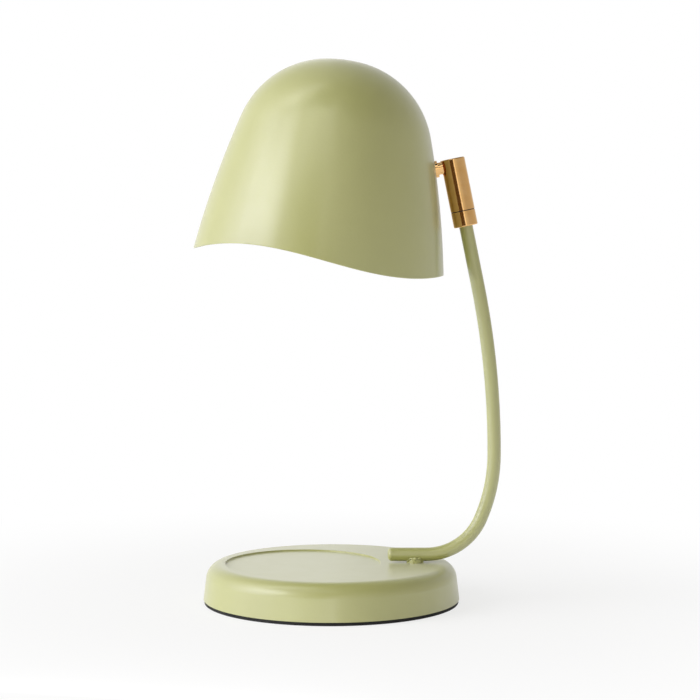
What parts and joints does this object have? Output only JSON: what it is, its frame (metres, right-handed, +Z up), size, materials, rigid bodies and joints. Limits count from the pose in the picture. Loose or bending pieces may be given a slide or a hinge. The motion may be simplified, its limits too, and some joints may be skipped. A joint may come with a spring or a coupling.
{
  "type": "candle warmer lamp",
  "caption": "Candle warmer lamp: weighted round base with a candle recess, bent arm tube, brass swivel and a wavy-rimmed dome shade holding a reflector bulb.",
  "frame": {"origin": "on the floor under the centre of the round base", "axes": "+Z up, +X towards the arm, +Y towards the back where the mains cord enters"},
  "size_m": [0.1814, 0.152, 0.3203],
  "materials": {
    "powder_coat": "satin powder coat, pale sage green",
    "brass": "polished brass",
    "plated_steel": "bright zinc plate",
    "iron": "as cast",
    "pad": "black closed-cell rubber",
    "nylon": "natural nylon",
    "sleeve": "glass-fibre sleeve over two leads",
    "ceramic": "glazed steatite",
    "nickel": "nickel plate",
    "reflector": "metallised glass",
    "clear_glass": "clear glass"
  },
  "bodies": {
    "base": {"base_shell": "powder_coat", "counterweight": "iron", "bottom_plate": "plated_steel", "foot_pad": "pad", "bottom_screws": "plated_steel", "weight_screws": "plated_steel", "cord_grommet": "nylon", "cord_clamp": "nylon", "terminal_block": "nylon", "terminal_inserts": "brass", "terminal_screws": "plated_steel", "fixture_screws": "plated_steel", "arm_tube": "powder_coat", "arm_end_plug": "powder_coat", "arm_stud": "powder_coat", "arm_washer": "plated_steel", "arm_nut": "plated_steel", "arm_lead": "sleeve", "arm_collar": "brass", "arm_grub_screw": "brass", "swivel_washer": "nylon"},
    "swivel": {"swivel_bar": "brass", "retaining_screw": "brass", "pivot_screw": "brass", "swivel_lead": "sleeve"},
    "shade": {"pivot_nipple": "brass", "shade_shell": "powder_coat", "outer_saddle": "brass", "inner_saddle": "plated_steel", "holder_bracket": "plated_steel", "pivot_lock_washer": "plated_steel", "pivot_nut": "plated_steel", "lamp_holder": "ceramic", "holder_screws": "plated_steel", "shade_lead": "sleeve"},
    "bulb": {"bulb_base": "ceramic", "bulb_pins": "nickel", "bulb_reflector": "reflector", "bulb_lens": "clear_glass", "bulb_capsule": "clear_glass"}
  },
  "joints": [
    {"name": "swivel_swing", "type": "hinge", "parent": "base", "child": "swivel", "pos_m": [0.07919, 0, 0.22254], "axis": [-0.2011, 0, 0.9796], "range_deg": [-150, 150]},
    {"name": "shade_turn", "type": "hinge", "parent": "swivel", "child": "shade", "pos_m": [0.07191, 0, 0.258], "axis": [-0.9796, 0, -0.2011], "range_deg": [-90, 90]},
    {"name": "bulb_twist", "type": "hinge", "parent": "shade", "child": "bulb", "pos_m": [-0.00706, 0, 0.20305], "axis": [0.1271, 0, 0.9919], "range_deg": [0, 22]}
  ]
}
